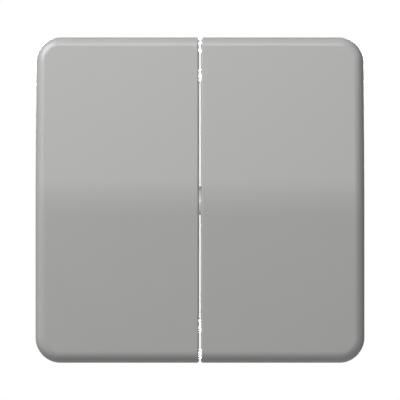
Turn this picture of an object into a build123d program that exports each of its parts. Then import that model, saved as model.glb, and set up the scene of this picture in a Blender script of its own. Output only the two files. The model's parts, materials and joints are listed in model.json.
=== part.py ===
from build123d import *
import os
from math import cos, radians, sin, sqrt, tan

# Two-circuit rocker wall switch, flush mounted in a round wall box.
# Frame in millimetres: +X right, +Z up, the front faces -Y. The plane y = 0 is the wall surface, and
# the origin is the middle of the box screw pattern. Each circuit's parts stand in a bank beside x = 0.

# Overall
switch_width = 70.0
rocker_height = 69.4
slot_width = 0.4
bank_x = 9.5
bank_sides = {"left": -1, "right": 1}

# How far a cutting shape runs on past an open end
cut_margin = 1.0

# Swing of the rockers: the axis runs along X through (swing_y, 0)
swing_y = -4.0
swing_half_angle = 4.0
rest_turn = -swing_half_angle

# Rocker shell. Heights are measured out from the swing axis, at right angles to the rocker.
gable_angle = 4.0
ridge_height = 8.0
ridge_blend_radius = 50.0
skirt_height = -0.1
skin = 1.8
wall = 1.6
corner_radius = 5.2
rim_radius = 2.2
slot_edge_radius = 0.6
slot_lip_depth = 3.0
front_lean_limit = 30.0
seat_rib_offset = 5.0
seat_rib_thickness = 1.2
seat_rib_half_length = 11.0
rib_bite = 0.5

# Cradle that the rocker clips onto
cradle_half_width = 7.6
cradle_half_length = 12.0
cradle_top = 2.6
cradle_thickness = 1.4
cradle_corner = 1.0
cheek_thickness = 1.5
cheek_radius = 2.4
cheek_half_length = 4.5
trunnion_radius = 1.5
trunnion_reach = 9.15
tube_radius = 3.2
tube_end = -9.0
tube_bore = 2.05
tube_bore_top = 1.4

# Clip arms of the rocker, hooked behind the ends of the cradle
clip_width = 8.0
clip_thickness = 1.5
clip_gap = 0.15
hook_depth = 0.8
hook_thickness = 0.5
hook_gap = 0.1

# Plunger and its spring
plunger_radius = 1.97
plunger_tip = -12.1
plunger_back = -5.0
spring_wire = 0.25
spring_radius = 1.4
spring_pitch = 0.95
spring_end_gap = 0.02

# Contact see-saw: rocks on a knife edge along X through (seesaw_y, 0), 11 degrees each way
seesaw_y = 9.05
seesaw_turn = 11.0
blade_half_length = 9.0
blade_half_width = 2.5
blade_thickness = 0.8
blade_corner = 0.8
contact_station = -7.5
contact_radius = 1.5
contact_thickness = 0.6
rivet_radius = 0.75
rivet_hole_radius = 0.8
rivet_head_radius = 1.1
rivet_head_thickness = 0.25
dome_radius = 2.5
dome_height = 0.5
contact_gap = 0.05

# Support plate
plate_size = 68.0
plate_thickness = 1.0
plate_corner = 4.0
plate_opening_width = 36.0
plate_opening_height = 30.4
plate_opening_corner = 1.5
box_screw_spacing = 60.0
box_screw_radius = 1.7
box_slot_length = 5.4
corner_screw_spacing = 54.0
corner_screw_radius = 1.6
bead_width = 2.4
bead_height = 0.4
bead_groove = 1.2
bead_edge = 0.25
side_bead_x = 25.0
side_bead_z = 14.0
side_bead_length = 15.0
end_bead_x = 13.5
end_bead_z = 28.6
end_bead_length = 13.0

# Front cover
cover_front = -3.0
cover_width = 41.0
cover_height = 51.0
cover_corner = 3.0
cover_edge_radius = 0.5
window_width = 16.2
window_height = 29.0
web_half_width = 1.4
post_start = 17.6
post_thickness = 2.0
eye_radius = 2.86
eye_bore = 1.56
eye_foot = 3.4

# Base housing and rear cover
base_half_width = 21.0
base_half_height = 22.5
base_chamfer = 5.0
base_wall = 1.6
base_depth = 22.4
floor_front = 12.9
floor_back = 14.3
partition_half = 0.7
partition_top = 10.0
partition_front = 0.2
spring_wall_near = 5.5
spring_wall_far = 6.5
base_edge_radius = 0.6
rear_face = 24.0
pad_height = 0.6
pad_width = 13.6
pad_low = 9.2
pad_high = 17.8
pad_corner = 1.4

# Catches that hold the rear cover: an arm inside the base's wall, with a nib in a window of the wall
catch_x = 8.0
catch_half_width = 2.3
catch_arm_thickness = 1.0
catch_arm_front = 18.6
catch_nib_front = 19.5
catch_nib_back = 20.7
catch_nib_reach = 0.9
catch_arm_gap = 0.05
catch_clearance = 0.15

# Raised marks on the rear cover: an arrow at each terminal and a gauge for the stripped wire
mark_height = 0.3
arrow_size = 1.6
arrow_turn = -90.0
arrow_z = 5.6
gauge_length = 11.0
gauge_width = 0.8
gauge_tick = 2.4

# Assembly screws through cover and plate into bosses of the base
boss_x = 16.2
boss_z = 17.7
boss_radius = 2.6
screw_head_radius = 2.3
screw_head_height = 1.2
screw_shank_radius = 1.0
screw_pilot_radius = 1.05
screw_clear_radius = 1.4
screw_length = 11.0
screw_slot_width = 0.6
screw_slot_depth = 0.6
head_round_share = 1 / 3

# Busbars
bar_thickness = 0.8
bar_half_width = 3.0
bar_end_z = 4.6
leg_inner_z = 16.4
leg_half_width = 5.4
leg_wide_from = 14.6
leg_end_y = 21.5
leg_slot_gap = 0.2
common_bar_low = 11.0
common_bar_high = 14.0
common_bar_reach = 12.0
knife_half_width = 2.0
knife_half_foot = 0.6
knife_gap = 0.1

# Wire entries and the leaves that clamp the wires
entry_radius = 1.7
entry_chamfer = 0.4
entry_z = 14.6
entry_offset = 3.4
leaf_half_width = 2.0
leaf_thickness = 0.4
leaf_bend_radius = 0.7
leaf_bend_width = 1.6
leaf_bend_gap = 1.8
leaf_foot_gap = 0.5
leaf_tip_gap = 1.7
leaf_wire_gap = 0.4

# Release levers
lever_z = 11.1
lever_half_width = 2.5
lever_half_height = 1.2
lever_tip_y = 20.9
lever_end_y = 25.4
lever_flange = 0.7
lever_flange_front = 21.3
lever_flange_back = 22.1
lever_clearance = 0.2
lever_edge_radius = 0.3

# Spreader claws and their screws
claw_screw_x = 24.4
claw_pin_x = 22.3
claw_pin_y = 2.1
claw_pin_radius = 0.9
claw_pin_reach = 6.9
claw_sheet = 1.0
claw_half_height = 4.6
claw_fork_half = 2.2
claw_outer_x = 27.6
claw_leg_end = 19.5
claw_tooth = 1.8
claw_slot_inner = 22.6
claw_slot_outer = 26.4
claw_slot_half = 1.75
ear_inner_z = 5.2
ear_outer_z = 7.4
ear_outer_x = 24.0
ear_front = 0.4
ear_back = 3.8
ear_bore = 0.97
claw_screw_radius = 1.5
claw_screw_end = 13.0
claw_head_radius = 2.5
claw_head_height = 1.95
claw_head_gap = 0.05
claw_hole_radius = 1.8


def out_of(turn):
    """Unit vector out of a part that is turned about X by the given angle, -Y when it is not turned."""
    return Vector(0, -cos(radians(turn)), -sin(radians(turn)))


def face_plane(height, axis_y, turn, x=0.0):
    """Plane parallel to a turned part's face, at a height out from its axis, seen from the front."""
    return Plane(origin=Vector(x, axis_y, 0) + out_of(turn) * height, x_dir=(1, 0, 0), z_dir=out_of(turn))


def flank_plane(x, axis_y, turn):
    """Plane across a turned part at x: its first axis runs up the part, its second out of it."""
    up = (0, -sin(radians(turn)), cos(radians(turn)))
    return Plane(origin=(x, axis_y, 0), x_dir=up, z_dir=(1, 0, 0))


def rocker_face(height, x=0.0):
    """Plane parallel to the rockers' face as they stand at rest."""
    return face_plane(height, swing_y, rest_turn, x)


def rocker_flank(x):
    """Plane across the rockers as they stand at rest."""
    return flank_plane(x, swing_y, rest_turn)


def wall_plane(y):
    """Plane parallel to the wall, seen from the front: its normal points out of the wall."""
    return Plane.XZ.offset(-y)


def side_plane(x):
    """Plane across the switch at x: its first axis is Y, into the wall, and its second is Z."""
    return Plane.YZ.offset(x)


def save(piece, label):
    """Name a finished piece and write it as its own node."""
    piece.part.label = label
    export_step(piece.part, f"parts/{label}.step")


def gable_profile(plane, half_length, sink, back):
    """Flank outline of a rocker: a gable sunk by the given depth below the outer face.

    Its back edge is a shallow V, so that each half of it lies along the plate when that half is pressed.
    """
    crest = ridge_height - sink / cos(radians(gable_angle))
    eave = crest - half_length * tan(radians(gable_angle))
    with BuildSketch(plane) as profile:
        with BuildLine():
            Polyline(
                (-half_length, back),
                (0, back - half_length * tan(radians(swing_half_angle))),
                (half_length, back),
                (half_length, eave),
                (0, crest),
                (-half_length, eave),
                close=True,
            )
        make_face()
        fillet(profile.vertices().sort_by(Axis.Y)[-1], ridge_blend_radius)
    return profile.sketch


def gable_front(station, sink):
    """Height of the rocker's straight front line, sunk by a depth, at a distance up from the ridge."""
    return ridge_height - sink - abs(station) * tan(radians(gable_angle))


def rocker_blank():
    """Solid pair of rockers before they are slit apart and hollowed, with rounded corners and rim."""
    outward = out_of(rest_turn)
    with BuildPart() as blank:
        outline = gable_profile(rocker_flank(0), rocker_height / 2, 0, skirt_height)
        extrude(outline, amount=switch_width / 2, both=True)
        fillet(blank.edges().filter_by(Axis((0, 0, 0), outward)), corner_radius)
        # The rim is every edge of the front but the two beside the ridge, which lie near the middle
        least = cos(radians(front_lean_limit))
        front = blank.faces().filter_by(lambda face: face.normal_at().dot(outward) > least)
        near_ridge = switch_width / 4
        rim = front.edges().filter_by(lambda edge: edge.center().length > near_ridge)
        fillet(rim, rim_radius)
    return blank.part


def rocker_hollow(side):
    """The space under one rocker's skin, rounded where the shell's outer corners are."""
    start = slot_width / 2 + wall
    length = switch_width / 2 - wall - start
    with BuildPart() as hollow:
        back = skirt_height - cut_margin
        inner = gable_profile(rocker_flank(side * start), rocker_height / 2 - wall, skin, back)
        extrude(inner, amount=side * length)
        uprights = hollow.edges().filter_by(Axis((0, 0, 0), out_of(rest_turn)))
        outer = uprights.sort_by(Axis.X)[-2:] if side > 0 else uprights.sort_by(Axis.X)[:2]
        fillet(outer, corner_radius - wall)
    return hollow.part


def build_rocker(name, side, blank):
    """One rocker: shell, ribs that sit on the cradle, and the clip arms that hook behind its ends."""
    with BuildPart() as rocker:
        add(blank)
        split(
            bisect_by=Plane.YZ.offset(side * slot_width / 2),
            keep=Keep.TOP if side > 0 else Keep.BOTTOM,
        )
        # The slot's edges are rounded, all but the two of the skirt's back
        slit = rocker.faces().sort_by(Axis.X)[0 if side > 0 else -1]
        fillet(slit.edges().sort_by(Axis((0, 0, 0), out_of(rest_turn)))[2:], slot_edge_radius)
        add(rocker_hollow(side), mode=Mode.SUBTRACT)
        # The wall beside the slot is only a lip, so that the cover's web fits behind it
        back = skirt_height - cut_margin
        relief = gable_profile(rocker_flank(0), rocker_height / 2 - wall, slot_lip_depth, back)
        extrude(relief, amount=side * (slot_width / 2 + 2 * wall), mode=Mode.SUBTRACT)
        for offset_x in (-seat_rib_offset, seat_rib_offset):
            with BuildSketch(rocker_flank(side * bank_x + offset_x)):
                with BuildLine():
                    Polyline(
                        (-seat_rib_half_length, cradle_top),
                        (seat_rib_half_length, cradle_top),
                        (seat_rib_half_length, gable_front(seat_rib_half_length, skin - rib_bite)),
                        (0, gable_front(0, skin - rib_bite)),
                        (-seat_rib_half_length, gable_front(seat_rib_half_length, skin - rib_bite)),
                        close=True,
                    )
                make_face()
            extrude(amount=seat_rib_thickness / 2, both=True)
        arm_near = cradle_half_length + clip_gap
        arm_far = arm_near + clip_thickness
        hook_top = cradle_top - cradle_thickness - hook_gap
        for end in (-1, 1):
            with BuildSketch(rocker_flank(side * bank_x)):
                with BuildLine():
                    Polyline(
                        (end * arm_near, gable_front(arm_near, skin - rib_bite)),
                        (end * arm_far, gable_front(arm_far, skin - rib_bite)),
                        (end * arm_far, hook_top - hook_thickness),
                        (end * (arm_near - hook_depth), hook_top - hook_thickness / 2),
                        (end * (arm_near - hook_depth), hook_top),
                        (end * arm_near, hook_top),
                        close=True,
                    )
                make_face()
            extrude(amount=clip_width / 2, both=True)
    save(rocker, f"{name}_rocker")


def build_cradle(name, centre):
    """Cradle: a plate with two cheeks that carry the trunnions, and the tube that guides the plunger."""
    with BuildPart() as cradle:
        with BuildSketch(rocker_face(cradle_top - cradle_thickness, centre)):
            RectangleRounded(2 * cradle_half_width, 2 * cradle_half_length, cradle_corner)
        extrude(amount=cradle_thickness)
        for cheek_x in (-cradle_half_width, cradle_half_width - cheek_thickness):
            with BuildSketch(rocker_flank(centre + cheek_x)):
                with BuildLine():
                    Polyline(
                        (-cheek_half_length, cradle_top - cradle_thickness / 2),
                        (-cheek_radius, 0),
                        (cheek_radius, 0),
                        (cheek_half_length, cradle_top - cradle_thickness / 2),
                        close=True,
                    )
                make_face()
                Circle(cheek_radius)
            extrude(amount=cheek_thickness)
        with BuildSketch(rocker_flank(centre)):
            Circle(trunnion_radius)
        extrude(amount=trunnion_reach, both=True)
        # Between the cheeks the trunnion rod is cut away, so that only its two ends are left
        with BuildSketch(rocker_flank(centre)):
            Rectangle(2 * trunnion_radius, 2 * trunnion_radius)
        extrude(amount=cradle_half_width - cheek_thickness, both=True, mode=Mode.SUBTRACT)
        with BuildSketch(rocker_face(tube_end, centre)):
            Circle(tube_radius)
        extrude(amount=cradle_top - cradle_thickness / 2 - tube_end)
        with BuildSketch(rocker_face(tube_end, centre)):
            Circle(tube_bore)
        extrude(amount=tube_bore_top - tube_end, mode=Mode.SUBTRACT)
    save(cradle, f"{name}_cradle")


def build_plunger(name, centre):
    """Plunger: a round rod with a ball nose, turned about the cradle tube's axis."""
    with BuildPart() as plunger:
        with BuildSketch(rocker_flank(centre)):
            with BuildLine():
                back = Line((0, plunger_back), (plunger_radius, plunger_back))
                side = Line(back @ 1, (plunger_radius, plunger_tip + plunger_radius))
                nose = RadiusArc(side @ 1, (0, plunger_tip), plunger_radius)
                Line(nose @ 1, back @ 0)
            make_face()
        tube_axis = Axis((centre, swing_y, 0), out_of(rest_turn))
        revolve(axis=tube_axis)
    save(plunger, f"{name}_plunger")


def build_plunger_spring(name, centre):
    """Helical spring between the plunger's back and the closed end of the cradle tube."""
    seat = rocker_face(plunger_back + spring_wire + spring_end_gap, centre)
    free = tube_bore_top - plunger_back - 2 * (spring_wire + spring_end_gap)
    with BuildPart() as spring:
        with BuildLine() as coil:
            Helix(spring_pitch, free, spring_radius, center=seat.origin, direction=seat.z_dir)
        with BuildSketch(Plane(origin=coil.line @ 0, z_dir=coil.line % 0)):
            Circle(spring_wire)
        sweep(path=coil.line, is_frenet=True)
    save(spring, f"{name}_plunger_spring")


def build_seesaw(name, centre):
    """See-saw blade, closed on its lower end, and the silver rivet that is its contact."""
    with BuildPart() as blade:
        with BuildSketch(face_plane(0, seesaw_y, seesaw_turn, centre)):
            RectangleRounded(2 * blade_half_width, 2 * blade_half_length, blade_corner)
            with Locations((0, contact_station)):
                Circle(rivet_hole_radius, mode=Mode.SUBTRACT)
        extrude(amount=blade_thickness)
    save(blade, f"{name}_seesaw")
    with BuildPart() as contact:
        with BuildSketch(face_plane(0, seesaw_y, seesaw_turn, centre)):
            with Locations((0, contact_station)):
                Circle(contact_radius)
        extrude(amount=-contact_thickness)
        with BuildSketch(face_plane(0, seesaw_y, seesaw_turn, centre)):
            with Locations((0, contact_station)):
                Circle(rivet_radius)
        extrude(amount=blade_thickness)
        with BuildSketch(face_plane(blade_thickness, seesaw_y, seesaw_turn, centre)):
            with Locations((0, contact_station)):
                Circle(rivet_head_radius)
        extrude(amount=rivet_head_thickness)
    save(contact, f"{name}_moving_contact")


def dome_centre():
    """Centre of the fixed contact's dome: just behind the moving contact's face when that is closed."""
    blade = flank_plane(0, seesaw_y, seesaw_turn)
    face = blade.from_local_coords(Vector(contact_station, -contact_thickness))
    return face - out_of(seesaw_turn) * (dome_radius + contact_gap)


def build_fixed_contact(name, centre):
    """Fixed contact: a domed silver rivet on the output busbar."""
    ball = dome_centre()
    front = ball.Y - dome_radius
    rim = front + dome_height
    bar_front = floor_front - bar_thickness
    with BuildPart() as contact:
        with BuildSketch(Plane(origin=(centre, 0, ball.Z), x_dir=(0, 1, 0), z_dir=(1, 0, 0))):
            with BuildLine():
                crown = RadiusArc((front, 0), (rim, contact_radius), dome_radius)
                Polyline(
                    crown @ 1,
                    (bar_front, contact_radius),
                    (bar_front, rivet_radius),
                    (floor_front, rivet_radius),
                    (floor_front, 0),
                    crown @ 0,
                )
            make_face()
        revolve(axis=Axis((centre, 0, ball.Z), (0, 1, 0)))
    save(contact, f"{name}_fixed_contact")


def build_cover():
    """White front cover: a plate with a window over each cradle, and eyes that hold their trunnions."""
    with BuildPart() as cover:
        with BuildSketch(wall_plane(-plate_thickness)):
            RectangleRounded(cover_width, cover_height, cover_corner)
            with GridLocations(2 * bank_x, 0, 2, 1):
                Rectangle(window_width, window_height, mode=Mode.SUBTRACT)
            with GridLocations(2 * boss_x, 2 * boss_z, 2, 2):
                Circle(screw_clear_radius, mode=Mode.SUBTRACT)
        extrude(amount=-plate_thickness - cover_front)
        fillet(cover.faces().sort_by(Axis.Y)[0].outer_wire().edges(), cover_edge_radius)
        eyes = (
            (-web_half_width, 2 * web_half_width),
            (post_start, post_thickness),
            (-post_start - post_thickness, post_thickness),
        )
        for start, thickness in eyes:
            with BuildSketch(side_plane(start)):
                with BuildLine():
                    Polyline(
                        (-plate_thickness, -eye_foot),
                        (swing_y, -eye_radius),
                        (swing_y, eye_radius),
                        (-plate_thickness, eye_foot),
                        close=True,
                    )
                make_face()
                with Locations((swing_y, 0)):
                    Circle(eye_radius)
            extrude(amount=thickness)
        with BuildSketch(side_plane(0)):
            with Locations((swing_y, 0)):
                Circle(eye_bore)
        extrude(amount=post_start + post_thickness, both=True, mode=Mode.SUBTRACT)
    save(cover, "front_cover")


def bead_stations():
    """The plate's stamped stiffening beads: x, z, length and turn of each."""
    for side_x in (-1, 1):
        for side_z in (-1, 1):
            yield side_x * side_bead_x, side_z * side_bead_z, side_bead_length, 90
            yield side_x * end_bead_x, side_z * end_bead_z, end_bead_length, 0


def build_plate():
    """Steel support plate with round holes above and below, slots at the sides and corner holes."""
    with BuildPart() as plate:
        with BuildSketch(wall_plane(0)):
            RectangleRounded(plate_size, plate_size, plate_corner)
            RectangleRounded(
                plate_opening_width,
                plate_opening_height,
                plate_opening_corner,
                mode=Mode.SUBTRACT,
            )
            with GridLocations(0, box_screw_spacing, 1, 2):
                Circle(box_screw_radius, mode=Mode.SUBTRACT)
            with GridLocations(box_screw_spacing, 0, 2, 1):
                SlotOverall(box_slot_length, 2 * box_screw_radius, mode=Mode.SUBTRACT)
            with GridLocations(corner_screw_spacing, corner_screw_spacing, 2, 2):
                Circle(corner_screw_radius, mode=Mode.SUBTRACT)
            with GridLocations(2 * boss_x, 2 * boss_z, 2, 2):
                Circle(screw_clear_radius, mode=Mode.SUBTRACT)
            with GridLocations(2 * claw_screw_x, 0, 2, 1):
                Circle(claw_hole_radius, mode=Mode.SUBTRACT)
        extrude(amount=plate_thickness)
        for x, z, length, turn in bead_stations():
            with BuildSketch(wall_plane(-plate_thickness)):
                with Locations(Location((x, z), turn)):
                    SlotOverall(length, bead_width)
            extrude(amount=bead_height)
        crests = plate.faces().sort_by(Axis.Y)[0 : len(list(bead_stations()))]
        fillet(crests.edges(), bead_edge)
        for x, z, length, turn in bead_stations():
            with BuildSketch(wall_plane(0)):
                with Locations(Location((x, z), turn)):
                    SlotOverall(length - bead_groove, bead_groove)
            extrude(amount=bead_height, mode=Mode.SUBTRACT)
    save(plate, "support_plate")


def base_outline(inset):
    """Outline of the base: a rectangle with cut corners that fits the round wall box.

    An inset outline has smaller cuts, so that the wall between the two is as thick at the corners.
    """
    outline = Rectangle(2 * (base_half_width - inset), 2 * (base_half_height - inset))
    chamfer(outline.vertices(), base_chamfer - inset * (2 - sqrt(2)))


def base_ears():
    """Ears on both sides of the base, bored for the pins of the spreader claws."""
    with BuildPart() as ears:
        for low in (-ear_outer_z, ear_inner_z):
            for side in bank_sides.values():
                with BuildSketch(Plane.XY.offset(low)):
                    with BuildLine():
                        Polyline(
                            (side * (base_half_width - base_wall / 2), ear_front),
                            (side * ear_outer_x, ear_front),
                            (side * ear_outer_x, ear_back),
                            (side * (base_half_width - base_wall / 2), ear_back + base_wall),
                            close=True,
                        )
                    make_face()
                    with Locations((side * claw_pin_x, claw_pin_y)):
                        Circle(ear_bore, mode=Mode.SUBTRACT)
                extrude(amount=ear_outer_z - ear_inner_z)
    return ears.part


def build_base():
    """Base housing: open to the front for the contacts, and to the rear for the wire clamps."""
    with BuildPart() as base:
        with BuildSketch(wall_plane(base_depth)):
            base_outline(0)
        extrude(amount=base_depth)
        fillet(base.edges().filter_by(Axis.Y), base_edge_radius)
        with BuildSketch(wall_plane(floor_front)):
            base_outline(base_wall)
        extrude(amount=floor_front, mode=Mode.SUBTRACT)
        with BuildSketch(wall_plane(base_depth)):
            base_outline(base_wall)
        extrude(amount=base_depth - floor_back, mode=Mode.SUBTRACT)
        with BuildSketch(wall_plane(floor_front)):
            with GridLocations(2 * boss_x, 2 * boss_z, 2, 2):
                Circle(boss_radius)
        extrude(amount=floor_front)
        # Partition between the two switching chambers, in front of the floor
        with BuildSketch(side_plane(0)):
            with BuildLine():
                Polyline(
                    (partition_front, -base_half_height + base_wall / 2),
                    (floor_front, -base_half_height + base_wall / 2),
                    (floor_front, partition_top),
                    (partition_front, partition_top),
                    close=True,
                )
            make_face()
        extrude(amount=partition_half, both=True)
        # Walls behind the floor: one between the output terminals, two that back the clamp leaves
        with BuildSketch(side_plane(0)):
            with BuildLine():
                Polyline(
                    (floor_back, -base_half_height + base_wall / 2),
                    (base_depth, -base_half_height + base_wall / 2),
                    (base_depth, -spring_wall_near),
                    (floor_back, -spring_wall_near),
                    close=True,
                )
            make_face()
        extrude(amount=partition_half, both=True)
        with BuildSketch(wall_plane(base_depth)):
            with GridLocations(0, spring_wall_near + spring_wall_far, 1, 2):
                Rectangle(2 * base_half_width - base_wall, spring_wall_far - spring_wall_near)
        extrude(amount=base_depth - floor_back)
        # Bosses bored for the assembly screws
        with BuildSketch(wall_plane(screw_length)):
            with GridLocations(2 * boss_x, 2 * boss_z, 2, 2):
                Circle(screw_pilot_radius)
        extrude(amount=screw_length, mode=Mode.SUBTRACT)
        # Windows in the upper and lower wall for the rear cover's catches
        with BuildSketch(Plane.XY.offset(-base_half_height)):
            with GridLocations(2 * catch_x, 0, 2, 1):
                with Locations((0, (catch_nib_front + catch_nib_back) / 2)):
                    Rectangle(
                        2 * (catch_half_width + catch_clearance),
                        catch_nib_back - catch_nib_front + 2 * catch_clearance,
                    )
        extrude(amount=2 * base_half_height, mode=Mode.SUBTRACT)
        # Slots for the legs of the busbars
        with BuildSketch(wall_plane(floor_back)):
            leg_z = leg_inner_z + bar_thickness / 2
            with Locations((-bank_x, -leg_z), (bank_x, -leg_z), (0, leg_z)):
                Rectangle(2 * (leg_half_width + leg_slot_gap), bar_thickness + 2 * leg_slot_gap)
        extrude(amount=floor_back - floor_front, mode=Mode.SUBTRACT)
        add(base_ears())
    save(base, "base_housing")


def terminals():
    """The three terminals: name, x of its middle and whether it is above (1) or below (-1) the axis."""
    return (("common", 0.0, 1), ("left", -bank_x, -1), ("right", bank_x, -1))


def build_rear_cover():
    """Rear cover: closes the base, with two wire entries and one lever slot at each terminal."""
    pad_face = rear_face + pad_height
    with BuildPart() as cover:
        with BuildSketch(wall_plane(rear_face)):
            base_outline(0)
        extrude(amount=rear_face - base_depth)
        fillet(cover.edges().filter_by(Axis.Y), base_edge_radius)
        fillet(cover.faces().sort_by(Axis.Y)[-1].edges(), base_edge_radius)
        for _, centre, side in terminals():
            with BuildSketch(wall_plane(pad_face)):
                with Locations((centre, side * (pad_low + pad_high) / 2)):
                    RectangleRounded(pad_width, pad_high - pad_low, pad_corner)
            extrude(amount=pad_face - base_depth)
        pads = cover.faces().sort_by(Axis.Y)[-len(terminals()) :]
        fillet(pads.edges(), pad_height / 2)
        for _, centre, side in terminals():
            with BuildSketch(wall_plane(pad_face)):
                with Locations((centre, side * lever_z)):
                    Rectangle(
                        2 * (lever_half_width + lever_clearance),
                        2 * (lever_half_height + lever_clearance),
                    )
                with Locations((centre, side * entry_z)):
                    with GridLocations(2 * entry_offset, 0, 2, 1):
                        Circle(entry_radius)
            extrude(amount=pad_face - base_depth, mode=Mode.SUBTRACT)
        pads = cover.faces().sort_by(Axis.Y)[-len(terminals()) :]
        rounds = pads.edges().filter_by(GeomType.CIRCLE)
        chamfer(rounds.filter_by(lambda edge: edge.radius > pad_corner), entry_chamfer)
        # Arrows: into the switch at the common terminal, out of it at the two others
        for _, centre, side in terminals():
            with BuildSketch(wall_plane(rear_face + mark_height)):
                with Locations((centre, side * arrow_z)):
                    RegularPolygon(arrow_size, 3, rotation=arrow_turn)
            extrude(amount=2 * mark_height)
        with BuildSketch(wall_plane(rear_face + mark_height)):
            Rectangle(gauge_length, gauge_width)
            with GridLocations(gauge_length, 0, 2, 1):
                Rectangle(gauge_width, gauge_tick)
        extrude(amount=2 * mark_height)
        # Catches: arms along the inside of the upper and lower wall
        arm_outer = base_half_height - base_wall - catch_arm_gap
        arm_inner = arm_outer - catch_arm_thickness
        nib_outer = arm_outer + catch_nib_reach
        for side in (-1, 1):
            for arm_x in (-catch_x, catch_x):
                with BuildSketch(side_plane(arm_x)):
                    with BuildLine():
                        Polyline(
                            (base_depth, side * arm_outer),
                            (catch_nib_back, side * arm_outer),
                            (catch_nib_back, side * nib_outer),
                            (catch_nib_front, side * arm_outer),
                            (catch_arm_front, side * arm_outer),
                            (catch_arm_front, side * arm_inner),
                            (base_depth, side * arm_inner),
                            close=True,
                        )
                    make_face()
                extrude(amount=catch_half_width, both=True)
    save(cover, "rear_cover")


def bar_with_leg(side, centre, low):
    """A flat bar on the base's floor that starts at low, and its leg that turns back by the wires."""
    bar_front = floor_front - bar_thickness
    leg_outer = leg_inner_z + bar_thickness
    with BuildPart() as bar:
        with BuildSketch(wall_plane(floor_front)):
            with Locations((centre, side * (low + leg_outer) / 2)):
                Rectangle(2 * bar_half_width, leg_outer - low)
        extrude(amount=bar_thickness)
        for start_y, leg_half in ((bar_front, bar_half_width), (leg_wide_from, leg_half_width)):
            with BuildSketch(wall_plane(leg_end_y)):
                with Locations((centre, side * (leg_inner_z + leg_outer) / 2)):
                    Rectangle(2 * leg_half, bar_thickness)
            extrude(amount=leg_end_y - start_y)
    return bar.part


def build_output_busbar(name, centre):
    """Output busbar: carries the fixed contact in front of the floor and clamps two wires behind it."""
    with BuildPart() as busbar:
        add(bar_with_leg(-1, centre, bar_end_z))
        with BuildSketch(wall_plane(floor_front)):
            with Locations((centre, dome_centre().Z)):
                Circle(rivet_hole_radius)
        extrude(amount=bar_thickness, mode=Mode.SUBTRACT)
    save(busbar, f"{name}_output_busbar")


def build_common_busbar():
    """Common busbar: a cross bar, an arm to each bank with a knife edge, and the leg for the wires."""
    bar_front = floor_front - bar_thickness
    knife_tip = seesaw_y + knife_gap
    with BuildPart() as busbar:
        add(bar_with_leg(1, 0.0, common_bar_low))
        with BuildSketch(wall_plane(floor_front)):
            with Locations((0, (common_bar_low + common_bar_high) / 2)):
                Rectangle(2 * common_bar_reach, common_bar_high - common_bar_low)
            with Locations(*[(side * bank_x, common_bar_low / 2) for side in bank_sides.values()]):
                Rectangle(2 * knife_half_width, common_bar_low + 2 * knife_half_foot)
        extrude(amount=bar_thickness)
        for side in bank_sides.values():
            with BuildSketch(side_plane(side * bank_x)):
                with BuildLine():
                    Polyline(
                        (bar_front, -knife_half_foot),
                        (knife_tip + knife_half_foot, -knife_half_foot),
                        (knife_tip, 0),
                        (knife_tip + knife_half_foot, knife_half_foot),
                        (bar_front, knife_half_foot),
                        close=True,
                    )
                make_face()
            extrude(amount=knife_half_width, both=True)
    save(busbar, "common_busbar")


def build_clamp_springs(name, centre, side):
    """Two bent leaves that press the wires of one terminal against its busbar leg."""
    back_z = spring_wall_far + leaf_thickness / 2
    bend_y = base_depth - leaf_bend_gap
    with BuildPart() as springs:
        for offset_x in (-entry_offset, entry_offset):
            with BuildSketch(side_plane(centre + offset_x)):
                with BuildLine():
                    FilletPolyline(
                        (floor_back + leaf_foot_gap, side * back_z),
                        (bend_y, side * back_z),
                        (bend_y, side * (back_z + leaf_bend_width)),
                        (floor_back + leaf_tip_gap, side * (leg_inner_z - leaf_wire_gap)),
                        radius=leaf_bend_radius,
                    )
                trace(line_width=leaf_thickness)
            extrude(amount=leaf_half_width, both=True)
    save(springs, f"{name}_clamp_springs")


def build_release_lever(name, centre, side):
    """Release lever: a push lug that stands out of the rear cover, held in by its flange."""
    with BuildPart() as lever:
        with BuildSketch(wall_plane(lever_end_y)):
            with Locations((centre, side * lever_z)):
                Rectangle(2 * lever_half_width, 2 * lever_half_height)
        extrude(amount=lever_end_y - lever_tip_y)
        fillet(lever.faces().sort_by(Axis.Y)[-1].edges(), lever_edge_radius)
        with BuildSketch(wall_plane(lever_flange_back)):
            with Locations((centre, side * lever_z)):
                Rectangle(2 * (lever_half_width + lever_flange), 2 * (lever_half_height + lever_flange))
        extrude(amount=lever_flange_back - lever_flange_front)
    save(lever, f"{name}_release_lever")


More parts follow.
